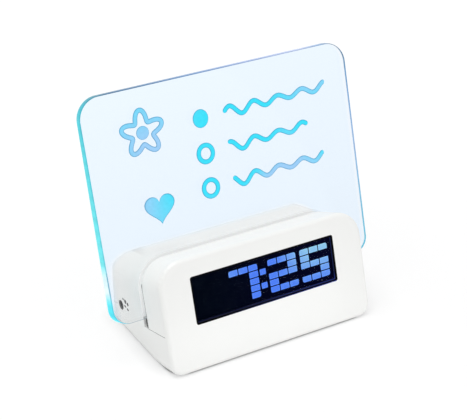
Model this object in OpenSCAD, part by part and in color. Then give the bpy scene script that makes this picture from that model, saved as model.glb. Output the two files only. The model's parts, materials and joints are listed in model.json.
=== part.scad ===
// Memo board clock: a clear writing board stands in a slot between a display unit and a rear housing.
// Millimetres, +Z up, the display faces -Y. The face leans back: "depth" is measured square to the face
// and "height" up along it, both from the foot of the face. Other places are upright, from the same foot.

/* [Body] */
// Angle by which the face and the board lean back
lean = 16; // [13:1:18]
// Width of the housing
body_w = 124.4; // [118:0.2:136]
// Height of the face
face_h = 62; // [60:0.5:68]
// Angle by which the top of the hood falls away behind the face
top_fall = 8; // [0:1:10]
// Height of the rear housing
rear_top = 59.5; // [56:0.5:64]
// Upright distance from the foot of the face to the back
body_depth = 75.3; // [74:0.1:84]
// Wall thickness of the shells
wall = 2.2; // [1.8:0.1:2.6]
// Floor thickness of the base
floor_t = 2.4; // [2.3:0.1:3]
// Radius of the hood's upper corners, seen square to the face
corner_r = 15; // [8:0.5:16]
// Radius of the rear housing's upper corners, seen square to the face
rear_corner_r = 17; // [9:0.5:18]
// Radius of the lower corners, seen square to the face
foot_corner_r = 7; // [4:0.5:9]
// Radius of the upper back edge
back_r = 21; // [16:0.5:23]
// Radius of the upright back corners, seen from above
back_corner_r = 5; // [3:0.5:9]
// Depth of the front cover
cover_t = 2.5; // [2.3:0.1:3]
// Edge radius of the front cover
cover_edge_r = 2.2; // [1:0.1:2.2]
// Height of the seam between the hood and the base
front_seam = 22.5; // [21.5:0.1:23.5]
// Height of the seam between the rear housing and the base, where the board's foot stands too
rear_seam = 28.2; // [27.5:0.1:29]

/* [Message board] */
// Width of the board
board_w = 160; // [130:1:200]
// Height of the board
board_h = 122; // [90:1:160]
// Thickness of the board
board_t = 4; // [3:0.1:5]
// Radius of the board's upper corners
board_r = 12; // [4:0.5:20]
// Radius of the board's lower corners
board_foot_r = 9; // [4:0.5:12]
// Depth of the board's front
board_depth = 23.4; // [22:0.1:25]
// Gap between the hood and the board
slot_front_gap = 0.4; // [0.2:0.1:0.8]
// Gap between the board and the rear housing
slot_back_gap = 0.2; // [0.1:0.1:0.6]
// Number of edge lights
led_count = 5; // [3:1:7]
// Diameter of an edge light
led_d = 3; // [2:0.5:3]
// Length of an edge light
led_l = 5.2; // [4:0.1:5.6]
// Thickness of the edge light board
led_board_t = 1.2; // [0.8:0.1:1.6]

/* [Display] */
// Width of the display window
window_w = 87; // [70:0.5:92]
// Height of the display window
window_h = 25.9; // [18:0.1:27]
// Distance of the window's upper edge below the top of the face
window_drop = 10.9; // [10:0.1:13]
// Corner radius of the window
window_r = 1; // [0.5:0.1:3]
// Depth of the window's front behind the face
window_recess = 0.6; // [0.2:0.1:1]
// Width of the rim that holds the window behind the face
window_rim = 2; // [1:0.1:2.5]
// Thickness of the window's rim
window_rim_t = 1; // [0.6:0.1:1.6]
// Thickness of the display panel
panel_t = 2.6; // [2:0.1:3]
// How far the display panel reaches past the window on each side
panel_margin = 1.5; // [1:0.1:2]
// Thickness of the backlight
backlight_t = 3; // [2:0.1:4]
// Height of a rubber contact strip
strip_h = 2; // [1.5:0.1:2.5]
// Wall of the display frame
frame_wall = 1.6; // [1:0.1:2]
// Thickness of the main board
main_board_t = 1.6; // [1:0.1:2]
// How far the main board reaches past the display frame on each side
main_board_ear = 5.8; // [5.6:0.1:6.6]
// Diameter of the clock chip's cap
chip_d = 12; // [8:0.5:16]
// Height of the clock chip's cap
chip_h = 1.5; // [1:0.1:2.5]
// Diameter of the quartz crystal
crystal_d = 2; // [1.5:0.1:3]
// Length of the quartz crystal
crystal_l = 6; // [5:0.5:8]
// Diameter of the buzzer
buzzer_d = 13; // [9:0.5:16]
// Height of the buzzer
buzzer_h = 6; // [4:0.5:8]

/* [Controls] */
// Diameter of a button
button_d = 7; // [5:0.5:8]
// Distance between the buttons
button_pitch = 11; // [10:0.5:11.5]
// Upright height of the buttons above the body's floor
button_z = 20; // [19.5:0.1:20.4]
// How far a button stands out of the back
button_proud = 1; // [0.8:0.1:2]
// Travel of a button
button_travel = 0.5; // [0.3:0.1:0.5]
// Thickness of a button's flange
flange_t = 0.9; // [0.6:0.1:1]
// How far a button's flange reaches past the button
flange_reach = 1.1; // [0.8:0.1:1.3]
// Gap round a button and behind its flange
button_gap = 0.15; // [0.1:0.05:0.2]
// Width of a push switch body
switch_w = 6; // [5:0.5:7]
// Height of a push switch body
switch_h = 3.2; // [3:0.1:3.4]
// Diameter of a switch plunger
plunger_d = 3; // [2:0.1:3.5]
// Depth of a switch plunger inside its switch
plunger_in = 1.6; // [1.2:0.1:1.8]
// Running gap of the plungers and of the slide switch
running_gap = 0.08; // [0.05:0.01:0.1]
// Place of the slide switch along the width
slide_x = 38; // [36:0.5:40]
// Length of the slide switch body
slide_l = 12; // [11:0.5:13]
// Height of the slide switch body
slide_h = 4.4; // [4:0.1:6]
// Length of the knob
knob_l = 4; // [3:0.1:4.5]
// Height of the knob
knob_h = 2.4; // [2:0.1:2.8]
// Travel of the knob
knob_travel = 4; // [2:0.5:5]
// How far the knob stands out of the back
knob_proud = 0.7; // [0.4:0.1:0.8]
// Thickness of the control board
control_t = 1.6; // [1:0.1:2]
// Height of the control board
control_h = 15; // [13:0.5:16]
// Room between the control board and the back wall
control_room = 5; // [5:0.1:6]

/* [Power] */
// Diameter of a cell
cell_d = 10.5; // [10:0.1:10.8]
// Length of a cell with its nub
cell_l = 44.5; // [40:0.5:50]
// Length of the nub of a cell
nub_l = 0.8; // [0.5:0.1:1.5]
// Diameter of the nub of a cell
nub_d = 3.8; // [3:0.1:5]
// Distance between the cells
cell_pitch = 11; // [10.9:0.1:11.3]
// Play of a cell above and below
cell_gap = 0.2; // [0.1:0.05:0.3]
// Thickness of a battery contact
contact_t = 0.4; // [0.3:0.1:0.6]
// Rise of a contact's spring leaf
leaf_h = 3.4; // [2.5:0.1:4.5]
// Wall of the battery compartment
box_wall = 1.2; // [1:0.1:1.4]
// Thickness of the battery door
door_t = 1.6; // [1.5:0.1:1.8]
// Gap round the battery door
door_gap = 0.15; // [0.1:0.05:0.2]
// Width of the door's guiding tongues
tongue_w = 1.2; // [0.8:0.1:1.5]
// Thickness of the door's guiding tongues
tongue_t = 0.6; // [0.5:0.1:0.7]
// Width of the power jack
jack_w = 9; // [8:0.5:10]
// Height of the power jack
jack_h = 11; // [9:0.5:11]
// Length of the power jack inside the wall
jack_l = 12.5; // [11:0.5:15]
// Diameter of the jack's collar in the wall
jack_collar_d = 7; // [6:0.1:8]
// Diameter of the jack's opening
jack_bore_d = 5.5; // [4.5:0.1:5.8]
// Diameter of the jack's pin
jack_pin_d = 2.1; // [1.5:0.1:2.5]
// Depth of the jack's opening
jack_bore_l = 9.5; // [8:0.5:10]

/* [Fasteners and feet] */
// Diameter of a case screw
case_screw_d = 2.8; // [2.5:0.1:3]
// Length of a case screw in its boss
case_screw_grip = 6; // [5:0.5:7]
// Diameter of a screw boss
boss_d = 6.4; // [6:0.1:7]
// Diameter of a small screw
small_screw_d = 1.9; // [1.6:0.1:2]
// Length of a small screw below its head
small_screw_l = 5; // [4.5:0.1:5.4]
// Diameter of a small screw post
post_d = 4.8; // [4.2:0.1:5]
// Thickness of a screw head
head_t = 1.5; // [1:0.1:2]
// Gap round a screw
screw_gap = 0.06; // [0.04:0.01:0.1]
// Diameter of a foot
foot_d = 9; // [6:0.5:10]
// How far a foot stands out below the base
foot_h = 1; // [0.6:0.1:2]
// Depth of a foot's recess
foot_recess = 0.6; // [0.4:0.1:0.8]

/* [Hidden] */
$fn = 64;
hull_fn = 32;
// Reach of a cutting block, overshoot of a cut, and overlap of joined solids
far = 400;
over = 1;
bite = 0.6;

// Colours as the photograph shows them, or as such parts have them
white = [0.94, 0.945, 0.94];
clear_blue = [0.8, 0.93, 0.99, 0.5];
ink = [0.03, 0.04, 0.1];
circuit_green = [0.1, 0.35, 0.2];
steel = [0.75, 0.76, 0.78];
soft_black = [0.08, 0.08, 0.09];

// Upright place of a point given by its depth and height
function upright_y(depth, height) = depth * cos(lean) + height * sin(lean);
function upright_z(depth, height) = height * cos(lean) - depth * sin(lean);
// Upright height of a seam at a given distance from the foot of the face
function seam_z(seam, y) = (seam - y * sin(lean)) / cos(lean);

// Slot and hood
hood_back = board_depth - slot_front_gap;
board_back = board_depth + board_t;
slot_back = board_back + slot_back_gap;
deck_t = 2;
deck_lap = 1.6;
edge_room = 1;
seat_drop = 6.2;
led_board_top = rear_seam - seat_drop;
deck_top = led_board_top - led_board_t;
deck_front = hood_back - wall - deck_lap;
seat_half = body_w / 2 - 2 * wall - edge_room;

// Centre of the round upper back edge
back_y = body_depth - back_r;
back_z = seam_z(rear_top - back_r, back_y);
back_centre_depth = back_y * cos(lean) - back_z * sin(lean);
inner_back = body_depth - wall;

// Display stack, by depth
window_mid = face_h - window_drop - window_h / 2;
panel_w = window_w + 2 * panel_margin;
panel_h = window_h + 2 * panel_margin;
panel_depth = cover_t + window_rim_t;
backlight_depth = panel_depth + panel_t;
main_board_depth = backlight_depth + backlight_t;
main_board_back = main_board_depth + main_board_t;
fit_gap = 0.1;
backlight_h = panel_h - 2 * strip_h - 4 * fit_gap;
frame_w = panel_w + 2 * (fit_gap + frame_wall);
main_board_w = frame_w + 2 * main_board_ear;
post_x = frame_w / 2 + fit_gap + post_d / 2;
post_rise = panel_h / 2 - post_d / 2;

// Bosses and screws
boss_r = boss_d / 2;
boss_x = body_w / 2 - wall - boss_r + bite;
boss_cap = 1;
boss_bore_l = case_screw_grip + boss_cap;
boss_gap = 0.4;
hood_boss_y = upright_y(hood_back - wall - boss_r - boss_gap, front_seam);
rear_boss_y = body_depth * 2 / 3;
BOSSES = [[hood_boss_y, front_seam], [rear_boss_y, rear_seam]];
case_head_reach = 1.3;
case_head_r = case_screw_d / 2 + case_head_reach;
pillar_wall = 1;
pillar_r = case_head_r + pillar_wall;
screw_seat = 4;
led_half = boss_x - pillar_r - edge_room;
small_head_reach = 1.1;
small_head_r = small_screw_d / 2 + small_head_reach;
case_pilot_d = case_screw_d + 2 * screw_gap;
case_through_d = case_screw_d + 4 * screw_gap;
small_pilot_d = small_screw_d + 2 * screw_gap;
small_through_d = small_screw_d + 4 * screw_gap;

// Controls on the back
BUTTON_COUNT = 5;
control_back = inner_back - control_room;
control_front = control_back - control_t;
flange_back = inner_back - button_gap;
flange_front = flange_back - flange_t;
flange_r = button_d / 2 + flange_reach;
button_back = body_depth + button_proud;
switch_back = control_back + switch_h;
channel_in = 1.2;
knob_foot_front = switch_back - channel_in + running_gap;
knob_back = body_depth + knob_proud;
control_post_z = 26;
post_room = 0.7;
post_left = -(2 * button_pitch + switch_w / 2 + post_d / 2 + post_room);
post_right = slide_x - slide_l / 2 - post_d / 2 - post_room;
control_posts = [post_left, post_right];
control_margin = 4;
control_right = slide_x + slide_l / 2 + control_margin;

// Power
CELL_COUNT = 3;
box_l = cell_l + leaf_h + 2 * contact_t;
door_lap = 1;
door_half = box_l / 2 + box_wall + door_lap;
door_room = door_t + door_gap;
box_back = inner_back - box_wall;
box_front = box_back - CELL_COUNT * cell_pitch;
cell_z = door_room + cell_gap + cell_d / 2;
box_top = cell_z + cell_d / 2 + cell_gap;
box_roof = box_top + box_wall;
door_front = box_front - box_wall / 2;
contact_trim = 1;
contact_h = cell_d - contact_trim;
board_room = 0.6;
control_z = box_roof + board_room;
jack_y = control_front - jack_w / 2;
jack_z = seam_z(rear_seam, jack_y);
jack_outer = body_w / 2 - wall;
jack_tab_w = jack_l + wall;

// Feet
foot_inset_side = 14;
foot_inset_front = 9;
foot_inset_back = 4;
foot_x = body_w / 2 - foot_inset_side;
foot_front_y = foot_d / 2 + foot_inset_front;
foot_back_y = body_depth - foot_d / 2 - foot_inset_back;

// Origin: the middle of the whole part on the surface that it stands on
front_edge_y = cover_edge_r * (cos(lean) + sin(lean) - 1);
origin_y = (front_edge_y + button_back) / 2;

module placed() {
    translate([0, -origin_y, foot_h]) children();
}

// Frame of the leaning face: x across, y depth, z height
module leaned() {
    rotate([-lean, 0, 0]) children();
}

// Extrudes an outline, drawn across and up, from one depth to another
module along_depth(from, to) {
    translate([0, to, 0]) rotate([90, 0, 0]) linear_extrude(to - from) children();
}

// Extrudes a profile, drawn back and up, across the width
module across(width) {
    translate([-width / 2, 0, 0]) rotate([90, 0, 90]) linear_extrude(width) children();
}

// Cylinder along the depth
module depth_rod(d, from, to) {
    translate([0, from, 0]) rotate([-90, 0, 0]) cylinder(d = d, h = to - from);
}

module slab(d0, d1, s0, s1) {
    translate([-far, d0, s0]) cube([2 * far, d1 - d0, s1 - s0]);
}

// Rectangle with rounded corners, drawn from its middle
module round_rect(w, h, r) {
    square([w - 2 * r, h], center = true);
    square([w, h - 2 * r], center = true);
    for (i = [-1, 1], j = [-1, 1]) translate([i * (w / 2 - r), j * (h / 2 - r)]) circle(r);
}

// Outline from far below up to a top with rounded upper corners
module round_top(w, top, r) {
    translate([-w / 2, -far]) square([w, far + top - r]);
    translate([-w / 2 + r, -far]) square([w - 2 * r, far + top]);
    for (i = [-1, 1]) translate([i * (w / 2 - r), top - r]) circle(r);
}

// Outline of the base square to the face, with rounded lower corners
module round_foot(inset) {
    mirror([0, 1]) round_top(body_w - 2 * inset, -inset, foot_corner_r - inset);
}

// Side profile with the upright back and its round upper edge
module side_profile(inset) {
    rotate(-lean) translate([-far, -far]) square([back_centre_depth + far, far + rear_top - inset]);
    translate([back_y, back_z]) circle(back_r - inset);
    translate([-far, -far]) square([far + body_depth - inset, far + back_z]);
}

// Plan with rounded back corners
module plan(inset) {
    round_top(body_w - 2 * inset, body_depth - inset, back_corner_r - inset);
}

module back_block(inset) {
    intersection() {
        across(2 * body_w) side_profile(inset);
        translate([0, 0, -far]) linear_extrude(2 * far) plan(inset);
    }
}

module above_floor(z) {
    translate([-far, -far, z]) cube([2 * far, 2 * far, far]);
}

// Space above the seams, or below them
module upper_front() {
    leaned() slab(-far, hood_back, front_seam, far);
}

module upper_rear() {
    leaned() slab(slot_back, far, rear_seam, far);
}

module below_seams() {
    leaned() slab(-far, slot_back, -far, front_seam);
    leaned() slab(slot_back, far, -far, rear_seam);
}

module hood_block(inset) {
    leaned() translate([0, cover_t, face_h]) rotate([-top_fall, 0, 0]) along_depth(-far / 4, far / 4)
        round_top(body_w - 2 * inset, -inset, corner_r - inset);
}

module base_block(inset, bottom) {
    intersection() {
        leaned() along_depth(cover_t, far) round_foot(inset);
        back_block(inset);
        above_floor(bottom);
    }
}

// Places its children at the left and the right screw line
module on_both_sides(x, y) {
    for (side = [-1, 1]) translate([side * x, y, 0]) children();
}

// A screw that points up, with its head below z = 0
module screw(d, grip, head_r) {
    cylinder(d = d, h = grip);
    translate([0, 0, -head_t]) difference() {
        cylinder(r = head_r, h = head_t);
        for (turn = [0, 90]) rotate(turn) translate([-d / 2, -d / 8, -bite]) cube([d, d / 4, head_t]);
    }
}

// Corner of the front cover: a disc with a rounded front edge
module cover_corner(r) {
    rotate([-90, 0, 0]) rotate_extrude($fn = hull_fn) {
        square([r - cover_edge_r, cover_t]);
        translate([0, cover_edge_r]) square([r, cover_t - cover_edge_r]);
        intersection() {
            translate([r - cover_edge_r, cover_edge_r]) circle(cover_edge_r, $fn = hull_fn);
            square([r, cover_t]);
        }
    }
}

module cover_plate() {
    hull() for (side = [-1, 1]) {
        translate([side * (body_w / 2 - corner_r), 0, face_h - corner_r]) cover_corner(corner_r);
        translate([side * (body_w / 2 - foot_corner_r), 0, foot_corner_r]) cover_corner(foot_corner_r);
    }
}

// Places its children at the four posts of the main board
module on_main_posts() {
    for (i = [-1, 1], j = [-1, 1]) translate([i * post_x, 0, window_mid + j * post_rise]) children();
}

// Snap tabs that reach under the hood's top and along the base's floor
module cover_tabs() {
    tab_w = 8;
    tab_l = 5;
    tab_t = 1.4;
    tab_gap = 0.2;
    tab_top = face_h - (wall + tab_gap) / cos(top_fall) - tab_l * tan(top_fall);
    for (side = [-1, 1]) {
        leaned() translate([side * body_w / 4 - tab_w / 2, cover_t - bite, tab_top - tab_t])
            cube([tab_w, tab_l + bite, tab_t]);
        translate([side * body_w / 4 - tab_w / 2, upright_y(cover_t - bite, floor_t), floor_t])
            cube([tab_w, tab_l + bite, tab_t]);
    }
}

module front_cover() {
    color(white) placed() difference() {
        union() {
            intersection() {
                leaned() cover_plate();
                above_floor(0);
            }
            leaned() on_main_posts() depth_rod(post_d, cover_t - bite, main_board_depth);
            cover_tabs();
        }
        leaned() translate([0, 0, window_mid]) along_depth(-over, cover_t + over)
            round_rect(window_w, window_h, window_r);
        leaned() on_main_posts() depth_rod(small_pilot_d, cover_t, main_board_depth + over);
    }
}

module display_hood() {
    boss_bore_top = seam_z(front_seam, hood_boss_y) + boss_bore_l;
    color(white) placed() difference() {
        union() {
            difference() {
                intersection() {
                    hood_block(0);
                    leaned() slab(cover_t, hood_back, front_seam, far);
                }
                intersection() {
                    hood_block(wall);
                    leaned() slab(-far, hood_back - wall, -far, far);
                }
            }
            intersection() {
                on_both_sides(boss_x, hood_boss_y) cylinder(d = boss_d, h = boss_bore_top + boss_cap);
                upper_front();
            }
        }
        on_both_sides(boss_x, hood_boss_y) cylinder(d = case_pilot_d, h = boss_bore_top);
    }
}

// Cylinder through the left side wall, round the power jack's axis
module jack_rod(d, from, to) {
    translate([-to, jack_y, jack_z]) rotate([0, 90, 0]) cylinder(d = d, h = to - from);
}

// Cylinder along the upright depth through the back
module back_rod(x, z, d, from, to) {
    translate([x, from, z]) rotate([-90, 0, 0]) cylinder(d = d, h = to - from);
}

function button_x(i) = (i - (BUTTON_COUNT - 1) / 2) * button_pitch;

module rear_housing() {
    boss_bore_top = seam_z(rear_seam, rear_boss_y) + boss_bore_l;
    knob_room = knob_l + knob_travel + 2 * button_gap;
    knob_slot_h = knob_h + 2 * button_gap;
    button_hole_d = button_d + 2 * button_gap;
    color(white) placed() difference() {
        union() {
            difference() {
                intersection() {
                    leaned() along_depth(slot_back, far) round_top(body_w, rear_top, rear_corner_r);
                    back_block(0);
                    upper_rear();
                }
                intersection() {
                    leaned() along_depth(slot_back + wall, far)
                        round_top(body_w - 2 * wall, rear_top - wall, rear_corner_r - wall);
                    back_block(wall);
                }
            }
            intersection() {
                on_both_sides(boss_x, rear_boss_y) cylinder(d = boss_d, h = boss_bore_top + boss_cap);
                upper_rear();
            }
            for (x = control_posts) back_rod(x, control_post_z, post_d, control_back, inner_back + bite);
        }
        on_both_sides(boss_x, rear_boss_y) cylinder(d = case_pilot_d, h = boss_bore_top);
        for (x = control_posts)
            back_rod(x, control_post_z, small_pilot_d, control_back - over, inner_back - bite);
        for (i = [0:BUTTON_COUNT - 1])
            back_rod(button_x(i), button_z, button_hole_d, inner_back - over, body_depth + over);
        translate([slide_x - knob_room / 2, inner_back - over, button_z - knob_slot_h / 2])
            cube([knob_room, wall + 2 * over, knob_slot_h]);
        jack_rod(jack_collar_d + 2 * fit_gap, jack_outer - over, body_w);
    }
}

// Floor opening of the battery door: a wide lower step with grooves, open to the back
module door_space() {
    groove_half = door_half + tongue_w + door_gap;
    groove_z = (door_t - tongue_t) / 2 - door_gap;
    translate([-door_half - door_gap, door_front - door_gap, -over])
        cube([2 * (door_half + door_gap), far, door_room + over]);
    translate([-groove_half, door_front - door_gap, groove_z])
        cube([2 * groove_half, far, tongue_t + 2 * door_gap]);
}

module base_shell() {
    jack_cradle_l = 8;
    inner_half = body_w / 2 - wall / 2;
    box_w = box_l + 2 * box_wall;
    color(white) placed() difference() {
        union() {
            difference() {
                intersection() {
                    base_block(0, 0);
                    below_seams();
                }
                base_block(wall, floor_t);
            }
            leaned() translate([-inner_half, deck_front, deck_top - deck_t])
                cube([2 * inner_half, slot_back + wall - deck_front, deck_t]);
            leaned() translate([-inner_half, slot_back, deck_top - bite])
                cube([2 * inner_half, wall, rear_seam - deck_top + bite]);
            intersection() {
                for (boss = BOSSES) on_both_sides(boss_x, boss[0]) cylinder(r = pillar_r, h = far);
                below_seams();
                base_block(0, 0);
            }
            translate([-box_w / 2, box_front - box_wall, floor_t - bite])
                cube([box_w, inner_back - box_front + box_wall, box_roof - floor_t + bite]);
            translate([-box_w / 2, box_back, floor_t - bite])
                cube([box_w, box_wall + bite, seam_z(rear_seam, body_depth) - floor_t + bite]);
            translate([-jack_outer - bite, jack_y - jack_w / 2, floor_t - bite])
                cube([jack_cradle_l + bite, jack_w, jack_z - jack_h / 2 - floor_t + bite]);
        }
        leaned() led_board_space(fit_gap);
        translate([-box_l / 2, box_front, -over]) cube([box_l, box_back - box_front, box_top + over]);
        door_space();
        for (boss = BOSSES) on_both_sides(boss_x, boss[0]) translate([0, 0, -over]) {
            cylinder(d = case_through_d, h = far);
            cylinder(r = case_head_r + fit_gap, h = seam_z(boss[1], boss[0]) - screw_seat + over);
        }
        jack_rod(jack_collar_d + 2 * fit_gap, jack_outer - over, body_w);
        on_feet() cylinder(d = foot_d + 2 * fit_gap, h = 2 * foot_recess, center = true);
    }
}

module battery_door() {
    grip_count = 3;
    grip_step = 3;
    grip_w = 20;
    grip_l = 1;
    grip_deep = 0.4;
    color(white) placed() difference() {
        union() {
            translate([-door_half, door_front, 0]) cube([2 * door_half, body_depth - door_front, door_t]);
            translate([-door_half - tongue_w, door_front, (door_t - tongue_t) / 2])
                cube([2 * (door_half + tongue_w), inner_back - door_front, tongue_t]);
        }
        for (i = [1:grip_count]) translate([-grip_w / 2, body_depth - i * grip_step - grip_l, -over])
            cube([grip_w, grip_l, grip_deep + over]);
    }
}

module message_board() {
    color(clear_blue) placed() leaned() translate([0, 0, rear_seam + board_h / 2])
        along_depth(board_depth, board_back) {
            round_rect(board_w, board_h, board_r);
            translate([0, -board_h / 4]) round_rect(board_w, board_h / 2, board_foot_r);
        }
}

function led_x(i) = (i - (led_count - 1) / 2) * (2 * led_half - 4 * led_d) / (led_count - 1);

// Places its children at the edge lights, on top of their board
module on_leds() {
    for (i = [0:led_count - 1]) translate([led_x(i), board_depth + board_t / 2, led_board_top]) children();
}

module board_seat() {
    color(white) placed() leaned() difference() {
        translate([-seat_half, board_depth, led_board_top]) cube([2 * seat_half, board_t, seat_drop]);
        on_leds() translate([0, 0, -over]) cylinder(d = led_d + 2 * fit_gap, h = seat_drop + 2 * over);
    }
}

// Space of the edge light board on its deck, with a gap on every side but the lower one
module led_board_space(gap) {
    translate([-led_half - gap, deck_front - gap, deck_top])
        cube([2 * (led_half + gap), board_back - deck_front + 2 * gap, led_board_t + gap]);
}

module led_board() {
    color(circuit_green) placed() leaned() led_board_space(0);
}

module edge_leds() {
    color(white) placed() leaned() on_leds() cylinder(d = led_d, h = led_l);
}

module display_window() {
    color(ink) placed() leaned() translate([0, 0, window_mid]) {
        along_depth(window_recess, cover_t + window_rim_t / 2)
            round_rect(window_w - 2 * fit_gap, window_h - 2 * fit_gap, window_r);
        along_depth(cover_t, cover_t + window_rim_t)
            round_rect(panel_w, min(panel_h, window_h + 2 * window_rim), window_r);
    }
}

// A block of the display stack, drawn from its middle
module display_block(w, h, from, to) {
    translate([-w / 2, from, window_mid - h / 2]) cube([w, to - from, h]);
}

module display_panel() {
    color(ink) placed() leaned() display_block(panel_w, panel_h, panel_depth, backlight_depth);
}

module display_backlight() {
    color(white) placed() leaned()
        display_block(panel_w - 2 * fit_gap, backlight_h, backlight_depth, main_board_depth);
}

module display_frame() {
    color(white) placed() leaned() difference() {
        display_block(frame_w, panel_h + 2 * (fit_gap + frame_wall), panel_depth, main_board_depth);
        display_block(panel_w + 2 * fit_gap, panel_h + 2 * fit_gap, 0, main_board_depth + over);
    }
}

module contact_strips() {
    color(soft_black) placed() leaned() for (side = [-1, 1])
        translate([0, 0, side * (panel_h - strip_h) / 2])
            display_block(panel_w - 2 * fit_gap, strip_h, backlight_depth, main_board_depth);
}

module main_board() {
    color(circuit_green) placed() leaned() difference() {
        display_block(main_board_w, panel_h + 2 * frame_wall, main_board_depth, main_board_back);
        on_main_posts() depth_rod(small_through_d, main_board_depth - over, main_board_back + over);
    }
}

module clock_chip() {
    color(soft_black) placed() leaned() translate([-chip_d, 0, window_mid])
        depth_rod(chip_d, main_board_back, main_board_back + chip_h);
}

module quartz_crystal() {
    color(steel) placed() leaned()
        translate([chip_d / 2, main_board_back + crystal_d / 2, window_mid - crystal_l])
            cylinder(d = crystal_d, h = crystal_l);
}

module buzzer() {
    sound_hole_d = 2;
    buzzer_back = main_board_back + buzzer_h;
    color(soft_black) placed() leaned() translate([panel_w / 2 - buzzer_d, 0, window_mid]) difference() {
        depth_rod(buzzer_d, main_board_back, buzzer_back);
        depth_rod(sound_hole_d, main_board_back + buzzer_h / 2, buzzer_back + over);
    }
}

module main_board_screws() {
    color(steel) placed() leaned() on_main_posts() translate([0, main_board_back, 0]) rotate([90, 0, 0])
        screw(small_screw_d, small_screw_l, small_head_r);
}

module control_board() {
    left = -jack_outer + edge_room;
    color(circuit_green) placed() difference() {
        union() {
            translate([left, control_front, control_z]) cube([control_right - left, control_t, control_h]);
            translate([left, control_front, jack_z - jack_h / 2])
                cube([jack_tab_w, control_t, control_z + bite - jack_z + jack_h / 2]);
        }
        for (x = control_posts)
            back_rod(x, control_post_z, small_through_d, control_front - over, control_back + over);
    }
}

module push_switches() {
    color(soft_black) placed() for (i = [0:BUTTON_COUNT - 1]) difference() {
        translate([button_x(i) - switch_w / 2, control_back, button_z - switch_w / 2])
            cube([switch_w, switch_h, switch_w]);
        back_rod(button_x(i), button_z, plunger_d + 2 * running_gap,
            switch_back - plunger_in - button_travel - running_gap, switch_back + over);
    }
}

module push_button(i) {
    color(white) placed() {
        back_rod(button_x(i), button_z, button_d, flange_front, button_back);
        back_rod(button_x(i), button_z, 2 * flange_r, flange_front, flange_back);
    }
}

module switch_plunger(i) {
    color(soft_black) placed()
        back_rod(button_x(i), button_z, plunger_d, switch_back - plunger_in, flange_front);
}

module slide_switch() {
    channel_l = knob_l + knob_travel + 2 * running_gap;
    color(steel) placed() difference() {
        translate([slide_x - slide_l / 2, control_back, button_z - slide_h / 2])
            cube([slide_l, switch_h, slide_h]);
        translate([slide_x - channel_l / 2, switch_back - channel_in, button_z - knob_h / 2 - running_gap])
            cube([channel_l, channel_in + over, knob_h + 2 * running_gap]);
    }
}

module switch_knob() {
    color(soft_black) placed()
        translate([slide_x - (knob_l + knob_travel) / 2, knob_foot_front, button_z - knob_h / 2])
            cube([knob_l, knob_back - knob_foot_front, knob_h]);
}

module power_jack() {
    pin_recess = 1;
    color(soft_black) placed() {
        difference() {
            union() {
                translate([-jack_outer, jack_y - jack_w / 2, jack_z - jack_h / 2])
                    cube([jack_l, jack_w, jack_h]);
                jack_rod(jack_collar_d, jack_outer - bite, body_w / 2 - fit_gap);
            }
            jack_rod(jack_bore_d, body_w / 2 - jack_bore_l, body_w);
        }
        jack_rod(jack_pin_d, body_w / 2 - jack_bore_l - bite, body_w / 2 - pin_recess);
    }
}

module control_board_screws() {
    color(steel) placed() for (x = control_posts) translate([x, control_front, control_post_z])
        rotate([-90, 0, 0]) screw(small_screw_d, small_screw_l, small_head_r);
}

// Flat cable from the main board, under the slot and beside the cells, up to the control board
module ribbon_cable() {
    ribbon_w = 10;
    ribbon_t = 0.4;
    plug_t = 2.4;
    plug_h = 4;
    ribbon_x = box_l / 2 + box_wall + ribbon_w;
    ribbon_z = floor_t + plug_t;
    drop_depth = main_board_back + plug_t / 2;
    drop_top = window_mid - panel_h / 2 + plug_h;
    drop_foot = (ribbon_z + drop_depth * sin(lean)) / cos(lean);
    drop_y = upright_y(drop_depth, drop_foot);
    rise_y = control_front - plug_t / 2;
    plug_z = control_z + edge_room;
    color(steel) placed() {
        leaned() translate([ribbon_x, main_board_back, drop_top - plug_h]) cube([ribbon_w, plug_t, plug_h]);
        leaned() translate([ribbon_x, drop_depth, drop_foot])
            cube([ribbon_w, ribbon_t, drop_top - bite - drop_foot]);
        translate([ribbon_x, drop_y, ribbon_z]) cube([ribbon_w, rise_y - drop_y, ribbon_t]);
        translate([ribbon_x, rise_y - ribbon_t, ribbon_z])
            cube([ribbon_w, ribbon_t, plug_z + bite - ribbon_z]);
        translate([ribbon_x, control_front - plug_t, plug_z]) cube([ribbon_w, plug_t, plug_h]);
    }
}

// Flat lead from the main board to a plug on the edge light board
module led_lead() {
    lead_w = 4;
    lead_t = 0.5;
    plug_h = 2.4;
    plug_depth = 1.4;
    plug_back = hood_back - wall - 2 * fit_gap;
    lead_x = -panel_w / 3;
    lead_z = led_board_top + plug_h / 2;
    joint_z = window_mid - panel_h / 2;
    color(steel) placed() leaned() {
        translate([lead_x, plug_back - plug_depth, led_board_top]) cube([lead_w, plug_depth, plug_h]);
        translate([lead_x, main_board_back, lead_z])
            cube([lead_w, plug_back - plug_depth / 2 - main_board_back, lead_t]);
        translate([lead_x, main_board_back, min(lead_z, joint_z)])
            cube([lead_w, lead_t, abs(joint_z - lead_z) + lead_t]);
    }
}

function cell_y(i) = box_front + (i + 0.5) * cell_pitch;
// Direction of a cell's nub: the cells lie head to tail
function cell_side(i) = i % 2 == 0 ? 1 : -1;

module battery(i) {
    color("royalblue") placed() translate([cell_side(i) * (box_l / 2 - contact_t), cell_y(i), cell_z])
        rotate([0, -90 * cell_side(i), 0]) {
            cylinder(d = nub_d, h = nub_l + bite);
            translate([0, 0, nub_l]) cylinder(d = cell_d, h = cell_l - nub_l);
        }
}

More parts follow.
